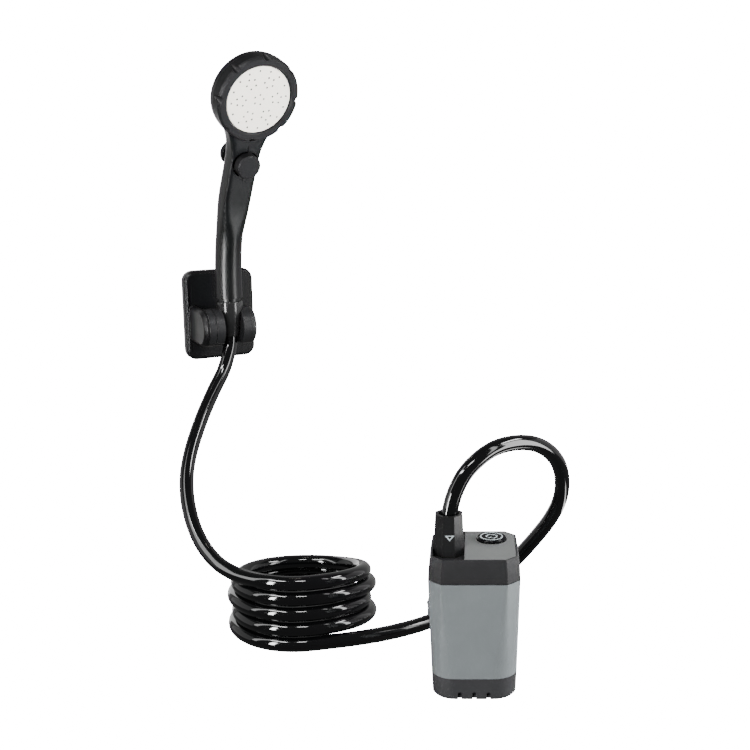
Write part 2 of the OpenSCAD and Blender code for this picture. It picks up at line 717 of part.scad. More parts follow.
module board_screws() color("#b8bcc0") for (p = board_holes()) translate([p[0], p[1], board_top - board_t]) {
    translate([0, 0, -screw_head_h]) cylinder(d = screw_head_d, h = screw_head_h);
    translate([0, 0, -skin]) cylinder(d = board_screw_d, h = board_t + board_post_l - 2);
}

module tact_switch() color("#2b2c2e") translate([button_x, button_y, board_top]) {
    translate([-3, -3, 0]) cube([6, 6, 3.4]);
    cylinder(d = 3.4, h = switch_top - board_top);
}

module button_seal() color("#2a2a2c") translate([button_x, button_y, well_z])
    ring_solid(button_d / 2 - 0.4, stem_hole_d / 2, button_seal_t);

// Push button with a dished top, a groove for the light ring and a stem over the switch
module power_button() color("#17181a") translate([button_x, button_y, 0]) rotate_extrude() {
    r = button_d / 2;
    out = light_ring_d / 2;
    in = out - light_ring_w;
    top = button_top;
    polygon([[0, stem_bottom], [button_stem_d / 2, stem_bottom], [button_stem_d / 2, button_bottom],
        [r, button_bottom], [r, top - 1], [r - 0.9, top], [out, top], [out, top - light_ring_depth],
        [in, top - light_ring_depth], [in, top - 0.1], [0, top - 0.4]]);
}

module button_ring() color("#f2f5f7") translate([button_x, button_y, button_top - light_ring_depth])
    ring_solid(light_ring_d / 2 - 0.05, light_ring_d / 2 - light_ring_w + 0.05, light_ring_depth);

module outlet_pipe() color("#8f9498") at_connector(base_h)
    ring_solid(pipe_d / 2, pipe_bore / 2, deck_z - base_h);

// Barbed nipple that the hose pushes onto, standing in the well
module outlet_nipple() color("#4a4c50") at_connector(0) rotate_extrude() {
    foot = deck_z - nipple_spigot_l;
    flange = well_z + nipple_seal_t;
    top = hose_start_z + barb_l;
    polygon([[nipple_bore / 2, foot], [nipple_r, foot], [nipple_r, flange], [nipple_flange_d / 2, flange],
        [nipple_flange_d / 2, hose_start_z], [nipple_r - 0.5, hose_start_z], [nipple_r, top - 12],
        [nipple_r - 0.5, top - 12], [nipple_r, top - 6], [nipple_r - 0.5, top - 6], [nipple_r - 0.1, top - 3],
        [nipple_r - 0.8, top], [nipple_bore / 2, top]]);
}

module nipple_seal() color("#1b1b1d") at_connector(well_z)
    ring_solid(nipple_flange_d / 2, nipple_r + fit_gap, nipple_seal_t);

// Eight-sided sleeve over the hose and nipple, open at its mouth
module connector_sleeve() color("#3f3f41") at_connector(well_z) difference() {
    hull() for (e = [[connector_base_d, 0], [connector_top_d, connector_h - skin]])
        octagon_slab(e[0], e[0] * (1 - sqrt(0.5)), e[1]);
    bore = hose_r + 0.4;
    translate([0, 0, -1]) cylinder(d = nipple_flange_d + 2 * move_gap, h = hose_start_z - well_z + 1.2);
    translate([0, 0, -1]) cylinder(r = bore, h = connector_h);
    translate([0, 0, 15]) cylinder(r1 = bore, r2 = connector_mouth_d / 2, h = connector_h - 15 + skin);
    translate([0.5, 0.8 - connector_base_d / 2, connector_h * 0.48]) rotate([90, 0, 0]) linear_extrude(3)
        polygon([[-3.6, 2.2], [3.6, 2.2], [0, -2.2]]);
}

// Coil: each turn lies flat, then climbs onto the next. Towards the back the turns lie in and out by turns,
// so they sink a little between each other there.
function coil_angle(a) = coil_start - a;
function coil_back(a) = (1 - cos(coil_angle(a) + 90)) / 2;
function coil_side(a) = floor((a - coil_start - 90) / 360) % 2 == 0 ? 1 : -1;
function coil_radius(a) = coil_r + coil_nest * coil_back(a) * coil_side(a);
function coil_rise(a) = sqrt(pow(coil_pitch, 2) - pow(2 * coil_nest * coil_back(a), 2));
function coil_height(a) = let (turn = floor(a / 360))
    hose_r + coil_rise(a) * (turn + smooth((a - 360 * turn - coil_flat) / (360 - coil_flat)));
function coil_point(a) = let (c = coil_angle(a))
    concat(coil_centre + coil_radius(a) * [cos(c), sin(c)], [coil_height(a)]);
function coil_direction(a) = [sin(coil_angle(a)), -cos(coil_angle(a)), 0];
coil_turns = [for (a = [0:coil_step:coil_sweep]) coil_point(a)];
coil_first = coil_turns[0] - hose_d * coil_direction(0);
coil_last = coil_turns[len(coil_turns) - 1] + hose_d * coil_direction(coil_sweep);
coil_route = concat([coil_first], coil_turns, [coil_last]);
half_turn = 180 / coil_step;
coil_least_gap = min([for (i = [0:len(coil_turns) - 1], j = [i + half_turn:1:len(coil_turns) - 1])
    norm(coil_turns[i] - coil_turns[j])]) - hose_d;
echo("least gap between turns of the coil", coil_least_gap);

module hose_coil() color("#141516")
    tube(coil_route, coil_direction(0), coil_direction(coil_sweep), [0, 0, 1], hose_r, 6);

// The feed starts at the nipple, and a start that lies elsewhere is eased out along the route
feed_start = [connector_x, 0, hose_start_z];
function eased(route, shift) = [for (i = [0:len(route) - 1]) route[i] + shift * (1 - i / len(route))];
module hose_feed() color("#141516") difference() {
    tube(concat([feed_start], eased(feed_route, feed_start - feed_from), [coil_first]), [0, 0, 1],
        coil_direction(0), [1, 0, 0], hose_r, 10);
    at_connector(hose_start_z - 1) cylinder(d = hose_bore, h = barb_l + 1.5);
}

module hose_rise() color("#141516") difference() {
    tube(concat([coil_last], rise_route, [holder_pos + [0, 0, hose_end_z]]), coil_direction(coil_sweep),
        [0, 0, 1], [0, 0, 1], hose_r, 10);
    translate(holder_pos + [0, 0, hose_end_z - tail_barb_l - 0.5])
        cylinder(r = hose_end_bore_r, h = tail_barb_l + 2);
}

// Frames of the holder, the hand shower and its head
module at_holder() translate(holder_pos) rotate([0, 0, holder_yaw]) children();
module at_handset() at_holder() rotate([0, 0, handset_turn]) children();
module at_head(drop = 0) at_handset() translate(spine(head_s - drop)) rotate([90 + handle_lean, 0, 0])
    children();
module along_pivot(x) translate([x, 0, 0]) rotate([0, 90, 0]) children();

// Conical nut that joins the hose to the handle and seats in the cradle
module hose_nut() color("#1a1b1c") at_handset() rotate_extrude() polygon([
    [nut_bore_r, nut_tip_z], [nut_tip_d / 2, nut_tip_z], [nut_d / 2, nut_cone_z], [nut_d / 2, nut_rise - 0.8],
    [nut_d / 2 - 0.8, nut_rise], [nut_thread_r, nut_rise], [nut_thread_r, nut_shoulder_z],
    [nut_bore_r, nut_shoulder_z]]);

module hose_tail() color("#5a5c60") at_handset() rotate_extrude() polygon([
    [2.4, nut_shoulder_z - tail_barb_l], [tail_barb_r - 0.6, nut_shoulder_z - tail_barb_l],
    [tail_barb_r, nut_shoulder_z - tail_barb_l + 3], [tail_barb_r, nut_shoulder_z],
    [nut_thread_r - fit_gap, nut_shoulder_z], [nut_thread_r - fit_gap, nut_shoulder_z + tail_flange_t],
    [2.4, nut_shoulder_z + tail_flange_t]]);

module nut_washer() color("#1b1b1d") at_handset() translate([0, 0, nut_shoulder_z + tail_flange_t])
    ring_solid(nut_thread_r - fit_gap, 5, washer_t);

// Middle line of the handle: straight, bent forward, then straight again to the head
function lean_at(s) = min(handle_lean, max(0, s - handle_straight) / handle_bend_r * 180 / PI);
function spine(s) = let (a = lean_at(s), over = max(0, s - neck_s))
    [0, -handle_bend_r * (1 - cos(a)) - over * sin(a),
        handle_z + min(s, handle_straight) + handle_bend_r * sin(a) + over * cos(a)];
// Width and depths of the handle, which flattens into the neck and flares into the head
function flattening(s) = smooth((s / neck_s - flat_from) / flat_over);
function mix(a, b, u) = a + (b - a) * u;
function handle_half_w(s) = mix(handle_d, neck_w, flattening(s)) / 2 + neck_fillet_r
    - sqrt(pow(neck_fillet_r, 2) - pow(max(0, fillet_drop - (head_s - s)), 2));
function handle_front(s) = mix(handle_d / 2, neck_front, flattening(s));
function handle_back(s) = mix(handle_d / 2, neck_back, flattening(s));
function handle_hoop(s, sides) =
    let (a = lean_at(s), u = flattening(s), f = 2 / mix(2, 7, u), b = 2 / mix(2, 2.6, u))
    [for (k = [0:sides - 1]) let (t = 360 * k / sides, c = cos(t), q = sin(t),
        d = q >= 0 ? handle_front(s) * signed_power(q, f) : handle_back(s) * signed_power(q, b))
        spine(s) + [handle_half_w(s) * signed_power(c, q >= 0 ? f : b), -d * cos(a), -d * sin(a)]];
loft_end = head_s - fillet_end;
loft_stops = concat([for (i = [0:9]) neck_s * i / 10],
    [for (i = [0:8]) neck_s + (loft_end - neck_s) * i / 8]);

// Handle, neck and head bowl in one moulding
module handle() color("#242527") difference() {
    sides = 36;
    union() {
        difference() {
            at_handset() polyhedron(flatten([for (s = loft_stops) handle_hoop(s, sides)]),
                skin_faces(len(loft_stops), sides));
            at_head() translate([0, 0, ring_back - 2 * move_gap])
                cylinder(r = ring_r + move_gap, h = ring_h + 20);
        }
        at_head() rotate_extrude() bowl_outline();
        at_handset() translate([0, 0, spigot_z]) cylinder(d = thread_d, h = handle_z - spigot_z + 2);
    }
    at_head() rotate_extrude() chamber_outline();
    at_head(valve_drop) translate([0, 0, pocket_z]) cylinder(r = pocket_r, h = 30);
    at_head(valve_drop) translate([0, 0, -30]) cylinder(r = spool_bore_r, h = 60);
    at_head(valve_drop) translate([0, 0, water_z]) rotate([-90, 0, 0])
        cylinder(d = neck_water_d, h = valve_drop - head_chamber_r + chamber_step + 2);
    at_handset() translate([0, 0, spigot_z - 1]) cylinder(r = water_r, h = handle_z - spigot_z + 3);
    at_handset() tube([for (i = [0:8]) spine(i / 8 * (head_s - valve_drop))], [0, 0, 1],
        [0, -sin(handle_lean), cos(handle_lean)], [1, 0, 0], water_r, 8);
    at_head() for (p = [[valve_drop - pocket_r - 3.5, 4], [valve_drop + pocket_r + 2.4, 3]])
        translate([-0.5, -p[0] - p[1] / 2, neck_front - 0.6]) cube([1, p[1], 3]);
}
// Outline of the bowl: a domed back, a rim behind the ring and a collar inside it
module bowl_outline() polygon(concat(
    [for (i = [0:8]) let (t = 90 * i / 8) [bowl_rim_r * sin(t), bowl_z - bowl_depth * cos(t)]],
    [[bowl_rim_r, ring_back - move_gap], [bowl_r, ring_back - move_gap], [bowl_r, rim_z], [0, rim_z]]));
// Stepped water chamber in the bowl
module chamber_outline() polygon([
    [0, rim_z + 1], [head_chamber_r, rim_z + 1], [head_chamber_r, flow_z],
    [head_chamber_r - chamber_step, flow_z], [head_chamber_r - chamber_step, bowl_z - 5],
    [0, bowl_z - bowl_depth + wall]]);

// Push-through valve: front knob, spool with two grooves and a tail for the rear knob
module valve_spool() color("#2b2c2e") at_head(valve_drop) rotate_extrude() {
    r = spool_d / 2;
    under = knob_reach - knob_h;
    g = spool_groove_h / 2;
    polygon(concat(
        [[0, knob_reach], [knob_d / 2 - 1, knob_reach], [knob_d / 2, knob_reach - 1], [knob_d / 2, under],
            [r, under]],
        [for (z = spool_groove_z, e = [[0, g], [-spool_groove, g], [-spool_groove, -g], [0, -g]])
            [r + e[0], z + e[1]]],
        [[r, rear_knob_z], [spool_tail_r, rear_knob_z], [spool_tail_r, tail_z], [0, tail_z]]));
}

module spool_seals() color("#121213") at_head(valve_drop) for (z = spool_groove_z)
    translate([0, 0, z - spool_groove_h / 2])
        ring_solid(spool_bore_r - 0.05, spool_d / 2 - spool_groove, spool_groove_h);

module rear_knob() color("#1f2022") at_head(valve_drop) rotate_extrude() polygon([
    [spool_tail_r + 0.05, rear_knob_z], [rear_knob_d / 2, rear_knob_z], [rear_knob_d / 2, rear_knob_end + 3],
    [rear_knob_d / 2 - 1, rear_knob_end + 1], [rear_knob_d / 2 - 3, rear_knob_end], [0, rear_knob_end],
    [0, tail_z], [spool_tail_r + 0.05, tail_z]]);

module flow_plate() color("#8a8d90") at_head() translate([0, 0, flow_z]) difference() {
    cylinder(r = head_chamber_r - fit_gap, h = 1.5);
    for (i = [0:11]) rotate([0, 0, 30 * i]) translate([head_chamber_r - 9, 0, -1]) cylinder(r = 2, h = 4);
}

module face_gasket() color("#151516") at_head() translate([0, 0, rim_z])
    ring_solid(bowl_r - 0.4, head_chamber_r + 0.2, face_gasket_t);

// Pressed steel face: a flange under the ring, a raised disc and its spray holes
module spray_face() color("#e2dfda") at_head() difference() {
    rotate_extrude() polygon([[0, face_front - face_t], [face_r - face_t, face_front - face_t],
        [face_r - face_t, face_flange_z], [bowl_r - 1.2, face_flange_z],
        [bowl_r - 1.2, face_flange_z + face_t], [face_r, face_flange_z + face_t], [face_r, face_front - 0.5],
        [face_r - 0.5, face_front], [0, face_front]]);
    for (p = spray_holes()) translate([p[0], p[1], face_front - 3])
        cylinder(d = spray_hole_d, h = 6, $fn = 16);
}
// Spray pattern: an outer circle, and a middle group of five with six more around it
function spray_holes() = concat(
    [for (i = [0:15]) face_r * 0.86 * [cos(22.5 * i + 8), sin(22.5 * i + 8)]],
    [for (g = [0:6], i = [0:4]) let (c = g == 0 ? [0, 0] : face_r * 0.56 * [cos(60 * g + 5), sin(60 * g + 5)],
        a = 72 * i + 25 * g + 10) c + face_r * 0.15 * [cos(a), sin(a)]]);

// Ring with grip scoops that turns to free the face
module head_ring() color("#1d1e20") at_head() difference() {
    under = face_flange_z + face_t + move_gap;
    rotate_extrude() polygon([
        [bowl_r + move_gap, ring_back], [ring_r - 0.5, ring_back], [ring_r, ring_back + 0.5],
        [ring_r, ring_front - 2.5], [ring_r - 1.6, ring_front], [lip_r + 1, ring_front],
        [lip_r, ring_front - 1], [lip_r, under], [bowl_r + move_gap, under]]);
    for (i = [0:scoop_count - 1]) rotate([0, 0, 90 + 360 * i / scoop_count])
        translate([ring_r + 0.6, 0, ring_front - scoop_l])
            cylinder(d1 = 0.6, d2 = scoop_d, h = scoop_l + 0.2);
}

// Wall plate with the lug that carries the pivot
module wall_plate() color("#1b1c1e") at_holder() difference() {
    union() {
        translate([0, standoff + plate_t, plate_rise]) rotate([90, 0, 0]) hull() {
            linear_extrude(plate_t - plate_bevel) offset_plate(0);
            linear_extrude(plate_t) offset_plate(plate_bevel);
        }
        hull() {
            along_pivot(lug_left + lug_edge) linear_extrude(lug_t - lug_edge) lug_profile(drum_r);
            along_pivot(lug_left) linear_extrude(skin) lug_profile(drum_r - lug_edge);
        }
    }
    along_pivot(lug_left + lug_skin) cylinder(d = pivot_d + 0.1, h = lug_t);
}
module offset_plate(inset) rounded(plate_w - 2 * inset, plate_h - 2 * inset, plate_r - inset, $fn = 32);
// The lug seen along the pivot: x is down and y is towards the wall
module lug_profile(r) {
    circle(r, $fn = 32);
    translate([-r, 0]) square([2 * r, standoff + 1]);
}

module adhesive_pad() color("#a8443a") at_holder() translate([0, standoff + plate_t + pad_t, plate_rise])
    rotate([90, 0, 0]) linear_extrude(pad_t) rounded(plate_w - 1, plate_h - 1, plate_r - 0.5);

module friction_disc() color("#2b2d30") at_holder() along_pivot(disc_left)
    ring_solid(drum_r, pivot_d / 2 + run_gap, disc_t);

module pivot_screw() color("#9a9ea3") at_holder() along_pivot(lug_left + lug_skin) {
    shank = pivot_head_x - lug_left - lug_skin;
    cylinder(d = pivot_d, h = shank);
    translate([0, 0, shank]) cylinder(d = pivot_head_d, h = pivot_head_t);
}

// Drum that the nut's cone drops into, with a slot in front for the hose
module cradle() color("#2a2c2f") at_holder() difference() {
    along_pivot(cradle_left) cylinder(r = drum_r, h = cradle_right - cradle_left);
    rotate_extrude() polygon([[0, -drum_r - 1], [bell_r, -drum_r - 1], [nut_tip_d / 2 + seat_gap, nut_tip_z],
        [nut_d / 2 + seat_gap, nut_cone_z], [nut_d / 2 + seat_gap, drum_r + 1], [0, drum_r + 1]]);
    translate([slot_left, -drum_r - 1, -drum_r - 1]) cube([slot_gap, drum_r + 1, drum_d + 2]);
    along_pivot(cradle_left - 1) cylinder(d = pivot_d + 2 * run_gap, h = 12);
    along_pivot(pivot_head_x - move_gap) cylinder(d = pivot_head_d + 2 * move_gap, h = 8);
}

module end_cap() color("#232527") at_holder() along_pivot(cradle_right) rotate_extrude() polygon(concat(
    [[0, 0], [drum_r, 0], [drum_r, end_cap_t * 0.45]],
    [for (i = [1:6]) let (t = 15 * i) [drum_r - 3.5 + 3.5 * cos(t), end_cap_t * (0.45 + 0.45 * sin(t))]],
    [[0, end_cap_t]]));

base_cover();
intake_filter();
pump_chamber();
chamber_screws();
impeller();
motor_shaft();
shaft_seal();
motor();
battery_cells();
inner_frame();
body_sleeve();
charge_socket();
port_cover();
cap_gasket();
top_cap();
top_panel();
circuit_board();
board_screws();
tact_switch();
button_seal();
power_button();
button_ring();
outlet_pipe();
outlet_nipple();
nipple_seal();
connector_sleeve();
hose_feed();
hose_coil();
hose_rise();
hose_nut();
hose_tail();
nut_washer();
handle();
valve_spool();
spool_seals();
rear_knob();
flow_plate();
face_gasket();
spray_face();
head_ring();
wall_plate();
adhesive_pad();
friction_disc();
pivot_screw();
cradle();
end_cap();
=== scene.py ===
import json
from math import cos, floor, pi, radians, sin, sqrt
import bpy
import bmesh
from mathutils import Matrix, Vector


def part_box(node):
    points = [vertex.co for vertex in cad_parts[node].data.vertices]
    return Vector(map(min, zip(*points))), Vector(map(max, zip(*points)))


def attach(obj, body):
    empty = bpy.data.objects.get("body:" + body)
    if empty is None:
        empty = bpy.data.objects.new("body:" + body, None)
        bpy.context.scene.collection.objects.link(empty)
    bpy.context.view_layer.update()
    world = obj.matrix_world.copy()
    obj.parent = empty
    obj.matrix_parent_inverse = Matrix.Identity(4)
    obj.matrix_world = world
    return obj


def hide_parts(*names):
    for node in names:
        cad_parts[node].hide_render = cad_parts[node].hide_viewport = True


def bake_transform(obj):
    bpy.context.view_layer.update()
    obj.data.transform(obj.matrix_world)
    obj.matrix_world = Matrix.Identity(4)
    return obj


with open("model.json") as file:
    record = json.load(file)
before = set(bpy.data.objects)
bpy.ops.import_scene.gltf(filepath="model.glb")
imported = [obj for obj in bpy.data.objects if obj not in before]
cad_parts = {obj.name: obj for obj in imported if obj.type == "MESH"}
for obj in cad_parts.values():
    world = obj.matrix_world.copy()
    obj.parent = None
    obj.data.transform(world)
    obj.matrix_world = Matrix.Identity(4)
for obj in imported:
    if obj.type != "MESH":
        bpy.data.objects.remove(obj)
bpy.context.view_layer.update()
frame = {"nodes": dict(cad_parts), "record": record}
record = frame["record"]
nodes = frame["nodes"]
bodyOf = {node: body for body, members in record["behaviour"]["bodies"].items() for node in members}
slotOf = {part["node"]: part["material_slot"] for part in record["subparts"]}
scene = bpy.context.scene
mm = 0.001

# the photographer's place: tilted down, not turned, with the picture shifted sideways
shot = {"place": (0.0, -0.902, 0.440), "tiltDown": 12.07, "lens": 59.2, "film": 36.0, "shift": -0.1323}
lensData = bpy.data.cameras.new("photoCamera")
lensData.lens = shot["lens"]
lensData.sensor_width = shot["film"]
lensData.shift_x = shot["shift"]
photoCamera = bpy.data.objects.new("photoCamera", lensData)
photoCamera.location = shot["place"]
photoCamera.rotation_euler = (radians(90 - shot["tiltDown"]), 0, 0)
scene.collection.objects.link(photoCamera)
scene.camera = photoCamera
print("camera set")


# small helpers
def newPiece(name, mesh, body, slotName, *standsFor):
    # a piece without a body is left unattached
    piece = bpy.data.objects.new(name, mesh)
    scene.collection.objects.link(piece)
    if body:
        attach(piece, body)
    if standsFor:
        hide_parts(*standsFor)
    return piece


def paint(mesh, finish):
    mesh.materials.clear()
    mesh.materials.append(finishes[finish])


def meshFrom(name, points, faces, smooth=True):
    mesh = bpy.data.meshes.new(name)
    mesh.from_pydata([tuple(p) for p in points], [], faces)
    mesh.validate()
    mesh.polygons.foreach_set("use_smooth", [smooth] * len(mesh.polygons))
    return mesh


def thicken(piece, thickness):
    solid = piece.modifiers.new("thickness", "SOLIDIFY")
    solid.thickness = thickness
    solid.offset = 0


def smoothLine(points, step):
    # an even run of points on a smooth curve through the given ones
    pts = [2 * points[0] - points[1]] + points + [2 * points[-1] - points[-2]]
    line = []
    for a, b, c, d in zip(pts, pts[1:], pts[2:], pts[3:]):
        count = max(2, round((c - b).length / step))
        for i in range(count):
            t = i / count
            square = (2 * a - 5 * b + 4 * c - d) * t * t
            cube = (3 * b - a - 3 * c + d) * t ** 3
            line.append(0.5 * (2 * b + (c - a) * t + square + cube))
    return line + [points[-1]]


def tubeMesh(name, line, radius, sides):
    # the side direction turns as little as it can along the line
    points, faces = [], []
    side = Vector((1, 0, 0))
    last = len(line) - 1
    for i, p in enumerate(line):
        ahead = (line[min(i + 1, last)] - line[max(i - 1, 0)]).normalized()
        side = (side - side.dot(ahead) * ahead).normalized()
        other = ahead.cross(side)
        for k in range(sides):
            a = 2 * pi * k / sides
            points.append(p + radius * (side * cos(a) + other * sin(a)))
    for i in range(last):
        here, there = i * sides, (i + 1) * sides
        for k in range(sides):
            n = (k + 1) % sides
            faces.append((here + k, here + n, there + n, there + k))
    faces.append(tuple(reversed(range(sides))))
    faces.append(tuple(last * sides + k for k in range(sides)))
    return meshFrom(name, points, faces)


# finishes: sizes and depths of the grain are in metres
def finishNodes(name, colour):
    finish = bpy.data.materials.new(name)
    finish.use_nodes = True
    finish.diffuse_color = (*colour, 1)
    tree = finish.node_tree
    return finish, tree, tree.nodes["Principled BSDF"], tree.nodes.new("ShaderNodeTexCoord")


def grain(tree, coords, size, detail, rough=0.55, stretch=None):
    # noise with features about that size
    noise = tree.nodes.new("ShaderNodeTexNoise")
    noise.inputs["Scale"].default_value = 1.0 / size
    noise.inputs["Detail"].default_value = detail
    noise.inputs["Roughness"].default_value = rough
    vector = coords.outputs["Object"]
    if stretch:
        mapping = tree.nodes.new("ShaderNodeMapping")
        mapping.inputs["Scale"].default_value = stretch
        tree.links.new(vector, mapping.inputs["Vector"])
        vector = mapping.outputs["Vector"]
    tree.links.new(vector, noise.inputs["Vector"])
    return noise.outputs["Fac"]


noiseSpan = (0.3, 0.7)  # where nearly all of a noise's values lie


def spread(tree, source, low, high):
    ranger = tree.nodes.new("ShaderNodeMapRange")
    for key, value in zip(("From Min", "From Max", "To Min", "To Max"), (*noiseSpan, low, high)):
        ranger.inputs[key].default_value = value
    tree.links.new(source, ranger.inputs["Value"])
    return ranger.outputs["Result"]


def tint(tree, source, colour, vary):
    ramp = tree.nodes.new("ShaderNodeValToRGB")
    for element, place, share in zip(ramp.color_ramp.elements, noiseSpan, (1 - vary, 1 + vary)):
        element.position = place
        element.color = (*[c * share for c in colour], 1)
    tree.links.new(source, ramp.inputs["Fac"])
    return ramp.outputs["Color"]


def bumpOf(tree, source, strength, depth):
    bump = tree.nodes.new("ShaderNodeBump")
    bump.inputs["Strength"].default_value = strength
    bump.inputs["Distance"].default_value = depth
    tree.links.new(source, bump.inputs["Height"])
    return bump.outputs["Normal"]


skinPlan = {"cloudSize": 0.02, "cloudDetail": 3.0, "skinDetail": 2.0, "glossSpan": (0.92, 1.08), "coatRough": 0.12}


def moulded(name, colour, rough, vary=0.08, skin=0.00035, depth=0.00004, strength=0.25, coat=0.0, specular=0.5):
    # plastic or rubber: a cloudy tint, uneven gloss and the fine skin of the mould
    finish, tree, shader, coords = finishNodes(name, colour)
    cloud = grain(tree, coords, skinPlan["cloudSize"], skinPlan["cloudDetail"])
    fine = grain(tree, coords, skin, skinPlan["skinDetail"])
    glossLow, glossHigh = skinPlan["glossSpan"]
    tree.links.new(tint(tree, cloud, colour, vary), shader.inputs["Base Color"])
    tree.links.new(spread(tree, cloud, rough * glossLow, rough * glossHigh), shader.inputs["Roughness"])
    tree.links.new(bumpOf(tree, fine, strength, depth), shader.inputs["Normal"])
    shader.inputs["Coat Weight"].default_value = coat
    shader.inputs["Coat Roughness"].default_value = skinPlan["coatRough"]
    shader.inputs["Specular IOR Level"].default_value = specular
    return finish


drawnPlan = {"lineSize": 0.0006, "lineDetail": 3.0, "lineRough": 0.6, "glossSpan": (0.85, 1.2),
             "strength": 0.12, "depth": 0.00003}


def metal(name, colour, rough, stretch, vary=0.06, metallic=1.0):
    # drawn or rolled metal with fine lines along the stretch
    finish, tree, shader, coords = finishNodes(name, colour)
    p = drawnPlan
    lines = grain(tree, coords, p["lineSize"], p["lineDetail"], p["lineRough"], stretch)
    glossLow, glossHigh = p["glossSpan"]
    tree.links.new(tint(tree, lines, colour, vary), shader.inputs["Base Color"])
    tree.links.new(spread(tree, lines, rough * glossLow, rough * glossHigh), shader.inputs["Roughness"])
    tree.links.new(bumpOf(tree, lines, p["strength"], p["depth"]), shader.inputs["Normal"])
    shader.inputs["Metallic"].default_value = metallic
    return finish


plastics = {
    "sleeveGrey": {"colour": (0.222, 0.247, 0.257), "rough": 0.42, "vary": 0.03, "skin": 0.0005,
                   "depth": 0.00005, "strength": 0.22, "specular": 0.4},
    "housingDark": {"colour": (0.0275, 0.0275, 0.029), "rough": 0.46, "vary": 0.05, "skin": 0.0004,
                    "strength": 0.22, "specular": 0.14},
    # painted light: the base's dark plastic is a lighter copy of housingDark, so the base shows brighter than the
    # cap
    "footDarkPaintedLight": {"colour": (0.048, 0.048, 0.051), "rough": 0.48, "vary": 0.05, "skin": 0.0004,
                 "strength": 0.22, "specular": 0.2},
    "panelGrey": {"colour": (0.160, 0.168, 0.167), "rough": 0.5, "vary": 0.03, "skin": 0.0003,
                  "depth": 0.00003, "strength": 0.2, "specular": 0.2},
    "flapRubber": {"colour": (0.15, 0.165, 0.17), "rough": 0.6, "vary": 0.04},
    "buttonBlack": {"colour": (0.004, 0.004, 0.005), "rough": 0.24, "vary": 0.05, "skin": 0.0006,
                    "depth": 0.00002, "strength": 0.08, "specular": 0.06},
    "lightRing": {"colour": (0.58, 0.66, 0.68), "rough": 0.35, "vary": 0.02, "skin": 0.0005,
                  "depth": 0.00002, "strength": 0.1, "specular": 0.2},
    "sealBlack": {"colour": (0.006, 0.006, 0.006), "rough": 0.65, "vary": 0.06},
    "connectorDark": {"colour": (0.0175, 0.0175, 0.018), "rough": 0.24, "vary": 0.05, "skin": 0.0005,
                      "depth": 0.00003, "strength": 0.15, "specular": 0.15},
    "fittingGrey": {"colour": (0.11, 0.115, 0.12), "rough": 0.4, "vary": 0.06},
    "impellerWhite": {"colour": (0.76, 0.77, 0.78), "rough": 0.4, "vary": 0.03},
    "frameIvory": {"colour": (0.66, 0.63, 0.55), "rough": 0.5, "vary": 0.04},
    "filterFoam": {"colour": (0.02, 0.022, 0.025), "rough": 0.9, "vary": 0.3, "skin": 0.0012,
                   "depth": 0.0006, "strength": 0.9},
    "cellWrap": {"colour": (0.05, 0.2, 0.4), "rough": 0.3, "vary": 0.05, "skin": 0.0008,
                 "depth": 0.00003, "strength": 0.15, "coat": 0.3},
    "boardGreen": {"colour": (0.014, 0.15, 0.06), "rough": 0.4, "vary": 0.15, "skin": 0.0008, "strength": 0.3},
    "switchBlack": {"colour": (0.02, 0.02, 0.02), "rough": 0.5},
    "hoseBlack": {"colour": (0.0028, 0.0028, 0.0032), "rough": 0.075, "vary": 0.1, "skin": 0.0016,
                  "depth": 0.00002, "strength": 0.05},
    "nutBlack": {"colour": (0.020, 0.020, 0.0205), "rough": 0.18, "skin": 0.0008,
                 "depth": 0.00002, "strength": 0.08},
    "handleBlack": {"colour": (0.0024, 0.0027, 0.0033), "rough": 0.34, "skin": 0.0003,
                    "depth": 0.00003, "strength": 0.2, "specular": 0.4},
    "ringBlack": {"colour": (0.0100, 0.0100, 0.0108), "rough": 0.40, "skin": 0.0003,
                  "depth": 0.00003, "strength": 0.22, "specular": 0.13},
    "plateBlack": {"colour": (0.0062, 0.0062, 0.0070), "rough": 0.36, "skin": 0.0003,
                   "depth": 0.00003, "strength": 0.2, "specular": 0.17},
    "cradleBlack": {"colour": (0.0165, 0.0168, 0.0180), "rough": 0.36, "skin": 0.0003,
                    "depth": 0.00003, "strength": 0.2, "specular": 0.3},
    "padRed": {"colour": (0.32, 0.055, 0.04), "rough": 0.6, "vary": 0.06},
    "whitePaper": {"colour": (0.9, 0.9, 0.9), "rough": 0.8, "vary": 0.01, "skin": 0.004,
                   "depth": 0.0001, "strength": 0.05},
}
metals = {
    "canMetal": {"colour": (0.55, 0.57, 0.59), "rough": 0.35, "stretch": (1, 1, 0.05)},
    "steel": {"colour": (0.62, 0.61, 0.59), "rough": 0.33, "stretch": (1, 0.1, 1)},
    "faceSteel": {"colour": (0.90, 0.85, 0.765), "rough": 0.42, "stretch": (1, 0.06, 1), "vary": 0.03,
                  "metallic": 0.12},
}
finishes = {name: moulded(name, **plan) for name, plan in plastics.items()}
finishes.update({name: metal(name, **plan) for name, plan in metals.items()})
print("finishes mixed:", len(finishes))

